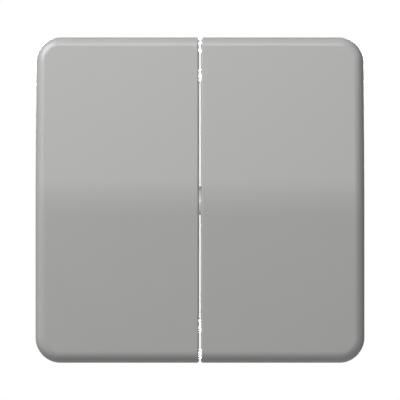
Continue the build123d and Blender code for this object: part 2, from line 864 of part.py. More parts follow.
def build_claw(name, side):
    """Spreader claw: a flange that its screw draws forward, and two prongs that swing out to grip."""
    inner_x = claw_pin_x - claw_sheet / 2
    flange_front = claw_pin_y - claw_sheet / 2
    with BuildPart() as claw:
        with BuildSketch(Plane.XY.offset(-claw_half_height)):
            with BuildLine():
                Polyline(
                    (side * inner_x, flange_front),
                    (side * claw_outer_x, flange_front),
                    (side * claw_outer_x, flange_front + claw_sheet),
                    (side * (inner_x + claw_sheet), flange_front + claw_sheet),
                    (side * (inner_x + claw_sheet), claw_leg_end - claw_tooth),
                    (side * (inner_x + claw_sheet + claw_tooth), claw_leg_end),
                    (side * inner_x, claw_leg_end),
                    close=True,
                )
            make_face()
        extrude(amount=2 * claw_half_height)
        with BuildSketch(Plane.XY.offset(-claw_pin_reach)):
            with Locations((side * claw_pin_x, claw_pin_y)):
                Circle(claw_pin_radius)
        extrude(amount=2 * claw_pin_reach)
        # The slot that the screw passes through, and the gap between the prongs
        with BuildSketch(Plane.XY.offset(-claw_slot_half)):
            with BuildLine():
                Polyline(
                    (side * claw_slot_inner, 0),
                    (side * claw_slot_outer, 0),
                    (side * claw_slot_outer, claw_pin_y + claw_sheet),
                    (side * claw_slot_inner, claw_pin_y + claw_sheet),
                    close=True,
                )
            make_face()
        extrude(amount=2 * claw_slot_half, mode=Mode.SUBTRACT)
        with BuildSketch(Plane.XY.offset(-claw_fork_half)):
            with BuildLine():
                Polyline(
                    (side * (inner_x - claw_sheet), flange_front + claw_sheet),
                    (side * claw_outer_x, flange_front + claw_sheet),
                    (side * claw_outer_x, claw_leg_end + claw_sheet),
                    (side * (inner_x - claw_sheet), claw_leg_end + claw_sheet),
                    close=True,
                )
            make_face()
        extrude(amount=2 * claw_fork_half, mode=Mode.SUBTRACT)
    save(claw, f"{name}_claw")


def slotted_screw(x, z, seat_y, end_y, shank, head, head_height):
    """A screw along Y: shank from its seat to its end, and a rounded head with a driver slot."""
    with BuildPart() as screw:
        with BuildSketch(wall_plane(end_y)):
            with Locations((x, z)):
                Circle(shank)
        extrude(amount=end_y - seat_y)
        with BuildSketch(wall_plane(seat_y)):
            with Locations((x, z)):
                Circle(head)
        extrude(amount=head_height)
        fillet(screw.faces().sort_by(Axis.Y)[0].edges(), head_height * head_round_share)
        with BuildSketch(wall_plane(seat_y - head_height + screw_slot_depth)):
            with Locations((x, z)):
                Rectangle(2 * head, screw_slot_width)
        extrude(amount=screw_slot_depth, mode=Mode.SUBTRACT)
    return screw.part


def build_claw_screw(name, side):
    """Screw that draws one claw, with its head in front of the support plate."""
    seat_y = -plate_thickness - claw_head_gap
    with BuildPart() as screw:
        add(
            slotted_screw(
                side * claw_screw_x,
                0,
                seat_y,
                claw_screw_end,
                claw_screw_radius,
                claw_head_radius,
                claw_head_height,
            )
        )
    save(screw, f"{name}_claw_screw")


def build_assembly_screws():
    """Four screws that hold cover, plate and base together."""
    with BuildPart() as screws:
        for x in (-boss_x, boss_x):
            for z in (-boss_z, boss_z):
                add(
                    slotted_screw(
                        x,
                        z,
                        cover_front,
                        screw_length,
                        screw_shank_radius,
                        screw_head_radius,
                        screw_head_height,
                    )
                )
    save(screws, "assembly_screws")


os.makedirs("parts", exist_ok=True)
rocker_pair = rocker_blank()
for bank, sign in bank_sides.items():
    build_rocker(bank, sign, rocker_pair)
    build_cradle(bank, sign * bank_x)
    build_plunger(bank, sign * bank_x)
    build_plunger_spring(bank, sign * bank_x)
    build_seesaw(bank, sign * bank_x)
    build_fixed_contact(bank, sign * bank_x)
    build_output_busbar(bank, sign * bank_x)
    build_claw(bank, sign)
    build_claw_screw(bank, sign)
for terminal, middle, level in terminals():
    build_clamp_springs(terminal, middle, level)
    build_release_lever(terminal, middle, level)
build_common_busbar()
build_cover()
build_plate()
build_base()
build_rear_cover()
build_assembly_screws()
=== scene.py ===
"""Rocker wall switch: finishes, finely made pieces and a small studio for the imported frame.

Lengths are in metres in the frame's own axes: +X right, +Z up, the front faces -Y, y = 0 is the wall.
"""

import json
import math

import bmesh
import bpy
from bpy.props import FloatProperty, FloatVectorProperty, PointerProperty
from bpy.types import Operator, Panel, PropertyGroup
from mathutils import Matrix, Vector


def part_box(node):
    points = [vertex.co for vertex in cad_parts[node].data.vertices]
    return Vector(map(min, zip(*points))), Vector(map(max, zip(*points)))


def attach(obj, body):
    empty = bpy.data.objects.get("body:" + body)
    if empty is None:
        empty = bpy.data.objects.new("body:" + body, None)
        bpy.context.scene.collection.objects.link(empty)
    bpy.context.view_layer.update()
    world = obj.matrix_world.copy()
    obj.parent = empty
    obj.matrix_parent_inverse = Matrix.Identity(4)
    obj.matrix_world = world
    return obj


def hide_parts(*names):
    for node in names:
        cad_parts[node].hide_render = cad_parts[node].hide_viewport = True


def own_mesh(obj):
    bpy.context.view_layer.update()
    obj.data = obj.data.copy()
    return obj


bl_info = {
    "name": "Rocker wall switch",
    "version": (1, 0, 0),
    "blender": (4, 5, 0),
    "location": "3D View > Sidebar > Switch",
    "description": "Builds the finishes, the fine pieces and the studio of a two-circuit rocker switch",
    "category": "Object",
}

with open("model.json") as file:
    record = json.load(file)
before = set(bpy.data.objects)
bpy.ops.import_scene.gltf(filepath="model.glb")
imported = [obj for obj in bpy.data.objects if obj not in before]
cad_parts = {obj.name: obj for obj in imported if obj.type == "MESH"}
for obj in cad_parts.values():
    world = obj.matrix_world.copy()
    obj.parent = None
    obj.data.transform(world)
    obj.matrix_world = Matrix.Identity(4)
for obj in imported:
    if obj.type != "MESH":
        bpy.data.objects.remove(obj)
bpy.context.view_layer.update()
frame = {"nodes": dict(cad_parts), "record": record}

MM = 0.001
BANKS = {"left": -1, "right": 1}
TERMINALS = ("common", "left", "right")
STEPS_PER_TURN = 32
FINE_SEGMENTS = 2
SAME = 0.001 * MM
MERGE = 0.0005 * MM
CAD_MERGE = 0.002 * MM
CUT_MARGIN = 1.0 * MM
SHARP_FROM = math.radians(40)


def span(*nodes):
    """Lowest and highest corner round several nodes of the frame."""
    boxes = [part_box(node) for node in nodes]
    low = Vector(min(box[0][axis] for box in boxes) for axis in range(3))
    high = Vector(max(box[1][axis] for box in boxes) for axis in range(3))
    return low, high


rocker_low, rocker_high = span("left_rocker", "right_rocker")
rocker_middle = (rocker_low + rocker_high) / 2
rocker_span = rocker_high.x - rocker_low.x


def colour(name, description, default):
    """A colour setting, in linear light."""
    return FloatVectorProperty(
        name=name,
        description=description,
        default=default,
        size=3,
        min=0.0,
        max=1.0,
        subtype="COLOR",
    )


def length(name, description, default):
    """A length setting, kept in metres."""
    return FloatProperty(name=name, description=description, default=default, min=0.0, unit="LENGTH")


class SwitchColours(PropertyGroup):
    """Colours of the finishes."""

    rocker: colour("Rockers", "Grey satin plastic of the rockers", (0.36, 0.358, 0.353))
    cover: colour("Front cover", "White plastic of the front cover", (0.82, 0.82, 0.80))
    housing: colour("Housing", "Light grey plastic of the base and rear cover", (0.56, 0.56, 0.54))
    plunger: colour("Plungers", "Natural plastic of the plungers", (0.72, 0.69, 0.60))
    lever: colour("Levers", "Dark plastic of the release levers", (0.045, 0.048, 0.052))
    zinc: colour("Zinc plating", "Zinc plated sheet steel", (0.62, 0.64, 0.66))
    screw: colour("Screws", "Bright zinc of the screws", (0.66, 0.67, 0.68))
    spring: colour("Spring wire", "Drawn spring steel", (0.48, 0.48, 0.49))
    brass: colour("Brass", "Rolled brass of the busbars", (0.72, 0.50, 0.22))
    silver: colour("Silver", "Silver of the contacts", (0.80, 0.80, 0.78))
    floor: colour("Floor", "Pale floor of the studio", (0.48, 0.48, 0.48))


class SwitchSizes(PropertyGroup):
    """Sizes of the rounded edges and of the fine details."""

    rim: length("Rocker rim", "Radius of the rockers' outer rim", 2.2 * MM)
    corner: length("Rocker corners", "Radius of the rockers' outer corners", 5.2 * MM)
    slot_edge: length("Slot edges", "Radius of the edges beside the slot", 0.5 * MM)
    ridge_blend: length("Ridge blend", "Radius of the soft ridge across the rockers", 50 * MM)
    moulded_edge: length("Moulded edges", "Radius of the edges of the plastic parts", 0.14 * MM)
    sheared_edge: length("Sheared edges", "Radius of the edges of the sheet metal parts", 0.08 * MM)
    claw_bend: length("Claw bend", "Inner radius of the bend in a claw", 0.4 * MM)
    claw_pitch: length("Claw screw's pitch", "Pitch of the claw screws' thread", 0.5 * MM)
    cover_pitch: length("Assembly screw's pitch", "Pitch of the assembly screws' thread", 0.8 * MM)
    thread_depth: length("Thread depth", "Depth of the threads", 0.25 * MM)
    driver_notch: length("Driver notch", "Width of the notch in a release lever's end", 0.7 * MM)


class SwitchStudio(PropertyGroup):
    """Sizes and strengths of the studio."""

    camera_distance: length("Camera distance", "From the camera to the rockers' outline", 1.15)
    outline_share: FloatProperty(
        name="Outline share",
        description="Share of the picture's width that the rockers' outline takes",
        default=0.82,
        min=0.1,
        max=1.0,
        subtype="FACTOR",
    )
    floor_drop: length("Floor drop", "How far the floor lies below the middle of the switch", 0.12)
    floor_radius: length("Floor radius", "Radius of the round floor", 1.2)
    floor_glow: FloatProperty(
        name="Floor glow",
        description="Brightness that the floor has out of the lights' reach",
        default=0.8,
        min=0.0,
    )
    softbox_distance: length("Softbox distance", "From the rockers to each softbox", 0.5)
    panel_size: length("Panel size", "Diameter of the glowing panel that lies on the floor", 0.6)
    softbox_power: FloatProperty(
        name="Softbox power",
        description="Power of the main softbox, in watts; the others are shares of it",
        default=3.0,
        min=0.0,
    )
    front_strength: FloatProperty(
        name="Front light",
        description="Strength of the distant light from the front",
        default=0.1,
        min=0.0,
    )
    slot_strength: FloatProperty(
        name="Slot light",
        description="Strength of the light that reaches down the slot between the rockers",
        default=2.0,
        min=0.0,
    )
    surround: FloatProperty(
        name="Surround",
        description="Brightness of the room round the switch",
        default=0.1,
        min=0.0,
    )


class Signal:
    """A shader socket that carries a number. Arithmetic on it adds Math nodes."""

    def __init__(self, finish, socket):
        self.finish = finish
        self.socket = socket

    def _math(self, operation, first, second):
        return self.finish.node("ShaderNodeMath", {"operation": operation}, {0: first, 1: second})

    def __add__(self, other):
        return self._math("ADD", self, other)

    __radd__ = __add__

    def __mul__(self, other):
        return self._math("MULTIPLY", self, other)

    __rmul__ = __mul__

    def __sub__(self, other):
        return self._math("SUBTRACT", self, other)

    def __rsub__(self, other):
        return self._math("SUBTRACT", other, self)


class Finish:
    """One procedural material in the making, on the piece's own Object coordinates."""

    def __init__(self, name, **constants):
        self.material = bpy.data.materials.new(name)
        self.material.use_nodes = True
        self.tree = self.material.node_tree
        self.shader = self.tree.nodes["Principled BSDF"]
        for socket, value in constants.items():
            self.shader.inputs[socket.replace("_", " ").title().replace("Ior", "IOR")].default_value = value
        self.place = self.node("ShaderNodeTexCoord", output="Object")

    def node(self, kind, settings=None, inputs=None, output=0):
        """Add one node: its settings first, then its sockets' values or links. Returns one output."""
        made = self.tree.nodes.new(kind)
        for name, value in (settings or {}).items():
            setattr(made, name, value)
        for name, value in (inputs or {}).items():
            self.feed(made.inputs[name], value)
        return Signal(self, made.outputs[output])

    def feed(self, socket, value):
        """Link a signal into a socket, or set the socket to a plain value."""
        if isinstance(value, Signal):
            self.tree.links.new(value.socket, socket)
        else:
            socket.default_value = value

    def noise(self, size, detail, stretch=(1.0, 1.0, 1.0)):
        """Soft noise from 0 to 1 with features of about the given size, longer where stretch is above 1."""
        scaled = self.node(
            "ShaderNodeVectorMath",
            {"operation": "DIVIDE"},
            {0: self.place, 1: tuple(size * along for along in stretch)},
        )
        inputs = {"Vector": scaled, "Scale": 1.0, "Detail": detail}
        return self.node("ShaderNodeTexNoise", None, inputs, "Fac")

    def mix(self, factor, first, second):
        """Blend two colours."""
        return self.node(
            "ShaderNodeMix",
            {"data_type": "RGBA"},
            {"Factor": factor, 6: first, 7: second},
            2,
        )

    def paint(self, **sockets):
        """Feed the shader's sockets that change over the surface."""
        for socket, value in sockets.items():
            self.feed(self.shader.inputs[socket.replace("_", " ").title()], value)

    def emboss(self, height, depth):
        """Raise the surface by a height signal times a depth."""
        self.paint(normal=self.node("ShaderNodeBump", None, {"Height": height, "Distance": depth}))


def tone(base, factor):
    """A colour made lighter or darker, with full alpha."""
    return (*(min(1.0, channel * factor) for channel in base), 1.0)


def satin_plastic(name, base, roughness, grain):
    """Moulded plastic: a fine spark-eroded grain, faint cloudiness and small changes of gloss."""
    finish = Finish(name, ior=1.49)
    cloud = finish.noise(9 * MM, 3.0)
    fine = finish.noise(grain, 4.0)
    finish.paint(
        base_color=finish.mix(cloud, tone(base, 0.985), tone(base, 1.015)),
        roughness=roughness + 0.05 * (fine - 0.5) + 0.04 * (cloud - 0.5),
    )
    finish.emboss(fine, 0.02 * grain)
    return finish.material


def sheet_metal(name, base, roughness, stretch, mottle):
    """Plated or rolled sheet: streaks along the rolling direction under a mottled surface."""
    finish = Finish(name, metallic=1.0)
    streak = finish.noise(0.25 * MM, 3.0, stretch)
    blotch = finish.noise(3.5 * MM, 4.0)
    finish.paint(
        base_color=finish.mix(blotch, tone(base, 1 - mottle), tone(base, 1 + mottle)),
        roughness=roughness + 0.18 * (streak - 0.5) + 0.12 * (blotch - 0.5),
    )
    finish.emboss(streak, 0.004 * MM)
    return finish.material


def middle(edge):
    """Middle of an edge."""
    return (edge.verts[0].co + edge.verts[1].co) / 2


def same(first, second):
    """Whether two lengths are the same, to well under a hundredth of a millimetre."""
    return abs(first - second) < SAME


def along_x(distance, y, z):
    """A point of an outline in Y and Z, at a distance along X."""
    return distance, y, z


def along_y(distance, x, z):
    """A point of an outline in X and Z, at a distance along Y."""
    return x, distance, z


def along_z(distance, x, y):
    """A point of an outline in X and Y, at a distance along Z."""
    return x, y, distance


def prism(outline, start, end, lay=along_x):
    """A solid from an outline, drawn out from start to end along the axis that lay stands for."""
    mesh = bmesh.new()
    face = mesh.faces.new([mesh.verts.new(lay(start, *point)) for point in outline])
    made = bmesh.ops.extrude_face_region(mesh, geom=[face])
    moved = [part for part in made["geom"] if isinstance(part, bmesh.types.BMVert)]
    bmesh.ops.translate(mesh, verts=moved, vec=lay(end - start, 0, 0))
    bmesh.ops.recalc_face_normals(mesh, faces=mesh.faces)
    return mesh


def lathe(profile, x, z):
    """A solid turned about the axis along Y through (x, z), from a profile of (radius, y) points."""
    mesh = bmesh.new()
    verts = [mesh.verts.new((x + radius, y, z)) for radius, y in profile]
    edges = [mesh.edges.new(pair) for pair in zip(verts, verts[1:])]
    turn_about_y(mesh, [*verts, *edges], x, z, 1, 0)
    bmesh.ops.remove_doubles(mesh, verts=mesh.verts, dist=MERGE)
    bmesh.ops.recalc_face_normals(mesh, faces=mesh.faces)
    return mesh


def turn_about_y(mesh, geometry, x, z, turns, pitch):
    """Spin geometry about the axis along Y through (x, z); a pitch makes it a screw."""
    bmesh.ops.spin(
        mesh,
        geom=geometry,
        cent=(x, 0, z),
        axis=(0, 1, 0),
        dvec=(0, pitch / STEPS_PER_TURN, 0),
        angle=2 * math.pi * turns,
        steps=round(STEPS_PER_TURN * turns),
        use_merge=not pitch,
        use_duplicate=False,
    )


# Half widths of a thread's ridge at its foot and its crest, as shares of the pitch
THREAD_FOOT = 0.42
THREAD_FLAT = 0.07


def thread(x, z, start, end, core, crest, pitch):
    """The ridge of a thread round the axis along Y through (x, z), closed at both ends."""
    mesh = bmesh.new()
    foot = THREAD_FOOT * pitch
    flat = THREAD_FLAT * pitch
    profile = ((core, -foot), (crest, -flat), (crest, flat), (core, foot))
    face = mesh.faces.new([mesh.verts.new((x + radius, start + y, z)) for radius, y in profile])
    turn_about_y(mesh, [face, *face.edges, *face.verts], x, z, (end - start) / pitch, pitch)
    bmesh.ops.holes_fill(mesh, edges=[edge for edge in mesh.edges if edge.is_boundary], sides=4)
    bmesh.ops.recalc_face_normals(mesh, faces=mesh.faces)
    return mesh


def gather(meshes):
    """Put several solids in one mesh."""
    whole = bmesh.new()
    for mesh in meshes:
        data = bpy.data.meshes.new("part_of_a_piece")
        mesh.to_mesh(data)
        mesh.free()
        whole.from_mesh(data)
        bpy.data.meshes.remove(data)
    return whole


def bar(low, high):
    """A rectangular solid between two corners."""
    mesh = bmesh.new()
    size = Vector(high) - Vector(low)
    place = Matrix.Translation((Vector(high) + Vector(low)) / 2) @ Matrix.Diagonal((*size, 1.0))
    bmesh.ops.create_cube(mesh, size=1.0, matrix=place)
    return mesh


def round_off(mesh, edges, radius, segments, clamp=False):
    """Round some edges with a true arc."""
    bmesh.ops.bevel(
        mesh,
        geom=list(edges),
        offset=radius,
        offset_type="OFFSET",
        segments=segments,
        profile=0.5,
        affect="EDGES",
        material=-1,
        clamp_overlap=clamp,
    )
    bmesh.ops.remove_doubles(mesh, verts=mesh.verts, dist=MERGE)


def sharp_edges(mesh, angle=30):
    """The edges whose two faces meet at more than an angle in degrees."""
    limit = math.radians(angle)
    return [edge for edge in mesh.edges if edge.is_manifold and edge.calc_face_angle() > limit]


def as_object(mesh, name):
    """Turn a bmesh into a linked object."""
    data = bpy.data.meshes.new(name)
    mesh.to_mesh(data)
    mesh.free()
    made = bpy.data.objects.new(name, data)
    bpy.context.scene.collection.objects.link(made)
    return made


def combine(base, cuts=(), joins=()):
    """Cut solids out of a base solid and join others to it. Returns the result as a bmesh."""
    body = as_object(base, "base_solid")
    tools = []
    for operation, meshes in (("DIFFERENCE", cuts), ("UNION", joins)):
        for mesh in meshes:
            tool = as_object(mesh, "tool_solid")
            step = body.modifiers.new(operation, "BOOLEAN")
            step.operation = operation
            step.solver = "EXACT"
            step.object = tool
            tools.append(tool)
    depsgraph = bpy.context.evaluated_depsgraph_get()
    data = bpy.data.meshes.new_from_object(body.evaluated_get(depsgraph))
    result = bmesh.new()
    result.from_mesh(data)
    bmesh.ops.remove_doubles(result, verts=result.verts, dist=MERGE)
    bmesh.ops.dissolve_degenerate(result, edges=result.edges, dist=MERGE)
    bpy.data.meshes.remove(data)
    for used in (body, *tools):
        spent = used.data
        bpy.data.objects.remove(used)
        bpy.data.meshes.remove(spent)
    return result


def finish_piece(mesh, name, material, body, nodes):
    """Make a bmesh a piece of the switch: smooth, finished, riding on a body in place of CAD nodes."""
    piece = as_object(mesh, name)
    piece.data.shade_smooth()
    piece.data.set_sharp_from_angle(angle=SHARP_FROM)
    piece.data.materials.append(material)
    even = piece.modifiers.new("even_shading", "WEIGHTED_NORMAL")
    even.keep_sharp = True
    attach(piece, body)
    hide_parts(*nodes)
    return piece


def body_of(node):
    """The body that a node of the frame belongs to."""
    return next(body for body, nodes in frame["record"]["behaviour"]["bodies"].items() if node in nodes)


def soft_copy(node, radius):
    """A merged copy of a node's mesh with its flat faces whole and its sharp edges rounded."""
    mesh = bmesh.new()
    mesh.from_mesh(frame["nodes"][node].data)
    bmesh.ops.remove_doubles(mesh, verts=mesh.verts, dist=CAD_MERGE)
    bmesh.ops.dissolve_limit(mesh, angle_limit=math.radians(1), verts=mesh.verts, edges=mesh.edges)
    round_off(mesh, sharp_edges(mesh), radius, FINE_SEGMENTS, clamp=True)
    return mesh


def soften(nodes, radius, material):
    """Stand rounded copies in for CAD nodes."""
    for node in nodes:
        finish_piece(soft_copy(node, radius), f"{node}_fine", material, body_of(node), [node])


def both(kind):
    """The left and the right node of a kind."""
    return [f"{bank}_{kind}" for bank in BANKS]


# Rocker shell, as in the frame: heights are measured out from the swing axis, across the rocker
SWING_Y = -4.0 * MM
REST_TURN = math.radians(-4)
GABLE = math.radians(4)
ROCKER_HALF = 34.7 * MM
RIDGE_HEIGHT = 8.0 * MM
SKIRT_HEIGHT = -0.1 * MM
SKIN = 1.8 * MM
WALL = 1.6 * MM
SLOT_HALF = 0.2 * MM
SLOT_LIP = 3.0 * MM
BANK_X = 9.5 * MM
RIB_OFFSET = 5.0 * MM
RIB_HALF_THICKNESS = 0.6 * MM
RIB_HALF_LENGTH = 11.0 * MM
RIB_BITE = 0.5 * MM
CRADLE_TOP = 2.6 * MM
CLIP_NEAR = 12.15 * MM
CLIP_FAR = 13.65 * MM
CLIP_HALF_WIDTH = 4.0 * MM
HOOK_REACH = 0.8 * MM
HOOK_TOP = 1.1 * MM
HOOK_THICKNESS = 0.5 * MM
RIDGE_SEGMENTS = 10
CORNER_SEGMENTS = 14
RIM_SEGMENTS = 10
SLOT_SEGMENTS = 5
FRONT_LIMIT = math.cos(math.radians(30))


def rocker_stand():
    """Placement that turns a rocker from upright to its rest position."""
    return Matrix.Translation((0, SWING_Y, 0)) @ Matrix.Rotation(REST_TURN, 4, "X")


def gable_outline(half, sink, back):
    """Flank outline of a gable sunk below the face: V-shaped at the back, a ridge in front."""
    crest = RIDGE_HEIGHT - sink / math.cos(GABLE)
    fall = half * math.tan(GABLE)
    return (
        (-back, -half),
        (fall - back, 0),
        (-back, half),
        (fall - crest, half),
        (-crest, 0),
        (fall - crest, -half),
    )


def gable_block(side, start, end, half, sink, back, blend):
    """A gable-fronted solid between two distances to one side of the slot, with a soft ridge."""
    mesh = prism(gable_outline(half, sink, back), side * start, side * end)
    ridge = [
        edge
        for edge in mesh.edges
        if same(middle(edge).z, 0)
        and middle(edge).y < sink - RIDGE_HEIGHT / 2
        and edge.calc_length() > SLOT_HALF
    ]
    level = [edge for edge in ridge if same(edge.verts[0].co.z, edge.verts[1].co.z)]
    round_off(mesh, level, blend * math.tan(GABLE), RIDGE_SEGMENTS)
    return mesh


def far_corners(mesh, distance, half):
    """The upright edges at a solid's two corners away from the slot."""
    return [
        edge
        for edge in mesh.edges
        if all(same(abs(vert.co.x), distance) and same(abs(vert.co.z), half) for vert in edge.verts)
    ]


def faces_front(face):
    """Whether a face looks mainly out of the rocker's front."""
    return face.normal.y < -FRONT_LIMIT


def rocker_shell(side, sizes):
    """Outer solid of one rocker: rounded corners, rounded rim and a finely rounded slot edge."""
    outer = rocker_span / 2
    mesh = gable_block(side, SLOT_HALF, outer, ROCKER_HALF, 0, SKIRT_HEIGHT, sizes.ridge_blend)
    round_off(mesh, far_corners(mesh, outer, ROCKER_HALF), sizes.corner, CORNER_SEGMENTS)
    rim = [
        edge
        for edge in mesh.edges
        if sum(faces_front(face) for face in edge.link_faces) == 1
        and not same(abs(middle(edge).x), SLOT_HALF)
    ]
    round_off(mesh, rim, sizes.rim, RIM_SEGMENTS)
    slit = next(
        face for face in mesh.faces if all(same(abs(vert.co.x), SLOT_HALF) for vert in face.verts)
    )
    edges = [edge for edge in slit.edges if any(vert.co.y < -CUT_MARGIN for vert in edge.verts)]
    round_off(mesh, edges, sizes.slot_edge, SLOT_SEGMENTS)
    return mesh


def gable_front(station, sink):
    """Height of the rocker's straight front line, sunk by a depth, at a distance from the ridge."""
    return RIDGE_HEIGHT - sink - abs(station) * math.tan(GABLE)


def seat_rib(x):
    """A rib inside the rocker that sits on the cradle."""
    top = SKIN - RIB_BITE
    outline = (
        (-CRADLE_TOP, -RIB_HALF_LENGTH),
        (-CRADLE_TOP, RIB_HALF_LENGTH),
        (-gable_front(RIB_HALF_LENGTH, top), RIB_HALF_LENGTH),
        (-gable_front(0, top), 0),
        (-gable_front(RIB_HALF_LENGTH, top), -RIB_HALF_LENGTH),
    )
    return prism(outline, x - RIB_HALF_THICKNESS, x + RIB_HALF_THICKNESS)


def clip_arm(x, end):
    """A sprung arm inside the rocker whose hook catches behind one end of the cradle."""
    top = SKIN - RIB_BITE
    outline = (
        (-gable_front(CLIP_NEAR, top), end * CLIP_NEAR),
        (-gable_front(CLIP_FAR, top), end * CLIP_FAR),
        (HOOK_THICKNESS - HOOK_TOP, end * CLIP_FAR),
        (HOOK_THICKNESS / 2 - HOOK_TOP, end * (CLIP_NEAR - HOOK_REACH)),
        (-HOOK_TOP, end * (CLIP_NEAR - HOOK_REACH)),
        (-HOOK_TOP, end * CLIP_NEAR),
    )
    return prism(outline, x - CLIP_HALF_WIDTH, x + CLIP_HALF_WIDTH)


def build_rocker(side, sizes):
    """One rocker as a single solid, standing as it does at rest."""
    inside = (SLOT_HALF + WALL, rocker_span / 2 - WALL)
    half = ROCKER_HALF - WALL
    back = SKIRT_HEIGHT - CUT_MARGIN
    core = gable_block(side, *inside, half, SKIN, back, sizes.ridge_blend)
    round_off(core, far_corners(core, inside[1], half), sizes.corner - WALL, RIM_SEGMENTS)
    relief = gable_block(side, 0, SLOT_HALF + 2 * WALL, half, SLOT_LIP, back, sizes.ridge_blend)
    x = side * BANK_X
    fittings = [seat_rib(x - RIB_OFFSET), seat_rib(x + RIB_OFFSET), clip_arm(x, -1), clip_arm(x, 1)]
    mesh = combine(rocker_shell(side, sizes), (core, relief), fittings)
    bmesh.ops.transform(mesh, matrix=rocker_stand(), verts=mesh.verts)
    return mesh


class SWITCH_OT_rockers(Operator):
    """Model the two rockers"""

    bl_idname = "switch.rockers"
    bl_label = "Rockers"

    def execute(self, context):
        colours = context.scene.switch_colours
        grey = satin_plastic("grey_plastic_satin", colours.rocker, 0.30, 0.12 * MM)
        for bank, side in BANKS.items():
            mesh = build_rocker(side, context.scene.switch_sizes)
            node = f"{bank}_rocker"
            finish_piece(mesh, f"{node}_shell", grey, body_of(node), [node])
        return {"FINISHED"}


class SWITCH_OT_housing(Operator):
    """Model the moulded parts of the insert: cover, base, rear cover, cradles and plungers"""

    bl_idname = "switch.housing"
    bl_label = "Housing"

    def execute(self, context):
        colours = context.scene.switch_colours
        edge = context.scene.switch_sizes.moulded_edge
        white = satin_plastic("white_plastic_satin", colours.cover, 0.35, 0.10 * MM)
        soften(["front_cover"], edge, white)
        grey = satin_plastic("housing_plastic", colours.housing, 0.45, 0.18 * MM)
        soften(["base_housing", "rear_cover", *both("cradle")], edge, grey)
        natural = satin_plastic("plunger_plastic_natural", colours.plunger, 0.3, 0.2 * MM)
        soften(both("plunger"), edge, natural)
        return {"FINISHED"}


# Release levers: a lug that stands out of the rear cover, and the flange that holds it in
LEVER_FLANGE = 0.7 * MM
LEVER_FLANGE_FRONT = 21.3 * MM
LEVER_FLANGE_BACK = 22.1 * MM
LEVER_END_RADIUS = 0.3 * MM
LEVER_SEGMENTS = 4
NOTCH_SHARE = 0.62
NOTCH_DEPTH = 0.6 * MM


def build_lever(node, sizes):
    """A release lever, with a notch for the driver's blade in the end that is pushed."""
    low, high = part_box(node)
    inset = Vector((LEVER_FLANGE, 0, LEVER_FLANGE))
    lug = bar(low + inset, high - inset)
    ends = [edge for edge in lug.edges if all(same(vert.co.y, high.y) for vert in edge.verts)]
    round_off(lug, ends, LEVER_END_RADIUS, LEVER_SEGMENTS)
    flange = bar((low.x, LEVER_FLANGE_FRONT, low.z), (high.x, LEVER_FLANGE_BACK, high.z))
    centre = (low + high) / 2
    half_length = NOTCH_SHARE * (high.x - low.x) / 2
    half_width = sizes.driver_notch / 2
    notch = bar(
        (centre.x - half_length, high.y - NOTCH_DEPTH, centre.z - half_width),
        (centre.x + half_length, high.y + CUT_MARGIN, centre.z + half_width),
    )
    mesh = combine(lug, [notch], [flange])
    round_off(mesh, sharp_edges(mesh), sizes.sheared_edge, FINE_SEGMENTS, clamp=True)
    return mesh


class SWITCH_OT_levers(Operator):
    """Model the release levers"""

    bl_idname = "switch.levers"
    bl_label = "Release levers"

    def execute(self, context):
        colours = context.scene.switch_colours
        dark = satin_plastic("lever_plastic_dark", colours.lever, 0.38, 0.12 * MM)
        for terminal in TERMINALS:
            node = f"{terminal}_release_lever"
            mesh = build_lever(node, context.scene.switch_sizes)
            finish_piece(mesh, f"{node}_lug", dark, body_of(node), [node])
        return {"FINISHED"}


# Spreader claws, bent from sheet
CLAW_SHEET = 1.0 * MM
CLAW_INNER_X = 21.8 * MM
CLAW_OUTER_X = 27.6 * MM
CLAW_FRONT_Y = 1.6 * MM
CLAW_END_Y = 19.5 * MM
CLAW_TOOTH = 1.8 * MM
CLAW_HALF_HEIGHT = 4.6 * MM
CLAW_FORK_HALF = 2.2 * MM
CLAW_SLOT = (22.6 * MM, 26.4 * MM)
CLAW_SLOT_HALF = 1.75 * MM
CLAW_PIN = (22.3 * MM, 2.1 * MM)
CLAW_PIN_RADIUS = 0.9 * MM
CLAW_PIN_REACH = 6.9 * MM
CLAW_POINTS = 3
BEND_SEGMENTS = 6
CUT_EDGE_FROM = 50


def claw_notches(side, low, high):
    """V-shaped cuts that part the end of a prong, between two heights, into points."""
    step = (high - low) / CLAW_POINTS
    root = side * (CLAW_INNER_X + CLAW_SHEET)
    tip = side * (CLAW_INNER_X + CLAW_SHEET + CLAW_TOOTH + CUT_MARGIN)
    for place in range(1, CLAW_POINTS):
        z = low + place * step
        outline = ((root, z), (tip, z + step / 2), (tip, z - step / 2))
        yield prism(outline, CLAW_END_Y - CLAW_TOOTH - CUT_MARGIN, CLAW_END_Y + CUT_MARGIN, along_y)


